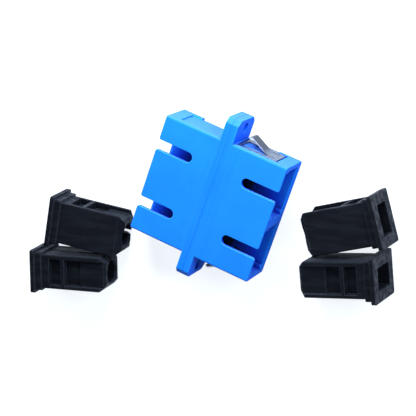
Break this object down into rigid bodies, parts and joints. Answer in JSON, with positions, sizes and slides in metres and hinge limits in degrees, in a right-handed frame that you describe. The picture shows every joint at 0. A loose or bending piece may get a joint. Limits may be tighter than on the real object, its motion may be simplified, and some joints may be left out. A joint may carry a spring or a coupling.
{
  "type": "sc fibre adapter",
  "caption": "Flanged duplex fibre adapter with square push-pull ports, key slots, two ears, a sprung steel panel clip and its dust caps lying beside it.",
  "frame": {"origin": "middle of the flange: half-way between its two screw holes, at the middle of its thickness and of the adapter's thickness", "axes": "+X runs from ear to ear across both ports, +Y along the fibre axes away from the clip, and +Z out of the broad face with the key slots"},
  "size_m": [0.053, 0.0744, 0.0109],
  "materials": {
    "housing": "moulded blue plastic with a low satin gloss",
    "insert": "moulded dark blue plastic",
    "clip": "rolled spring steel, satin",
    "sleeve": "ground white ceramic",
    "cap": "moulded black plastic"
  },
  "bodies": {
    "root": {"housing_plain_side": "housing", "housing_clip_side": "housing", "spring_clip": "clip", "split_sleeve_a": "sleeve", "split_sleeve_b": "sleeve", "latch_insert_a_plain_side": "insert", "latch_insert_a_clip_side": "insert", "latch_insert_b_plain_side": "insert", "latch_insert_b_clip_side": "insert", "dust_cap_left_front": "cap", "dust_cap_left_back": "cap", "dust_cap_right_front": "cap", "dust_cap_right_back": "cap"}
  },
  "joints": []
}
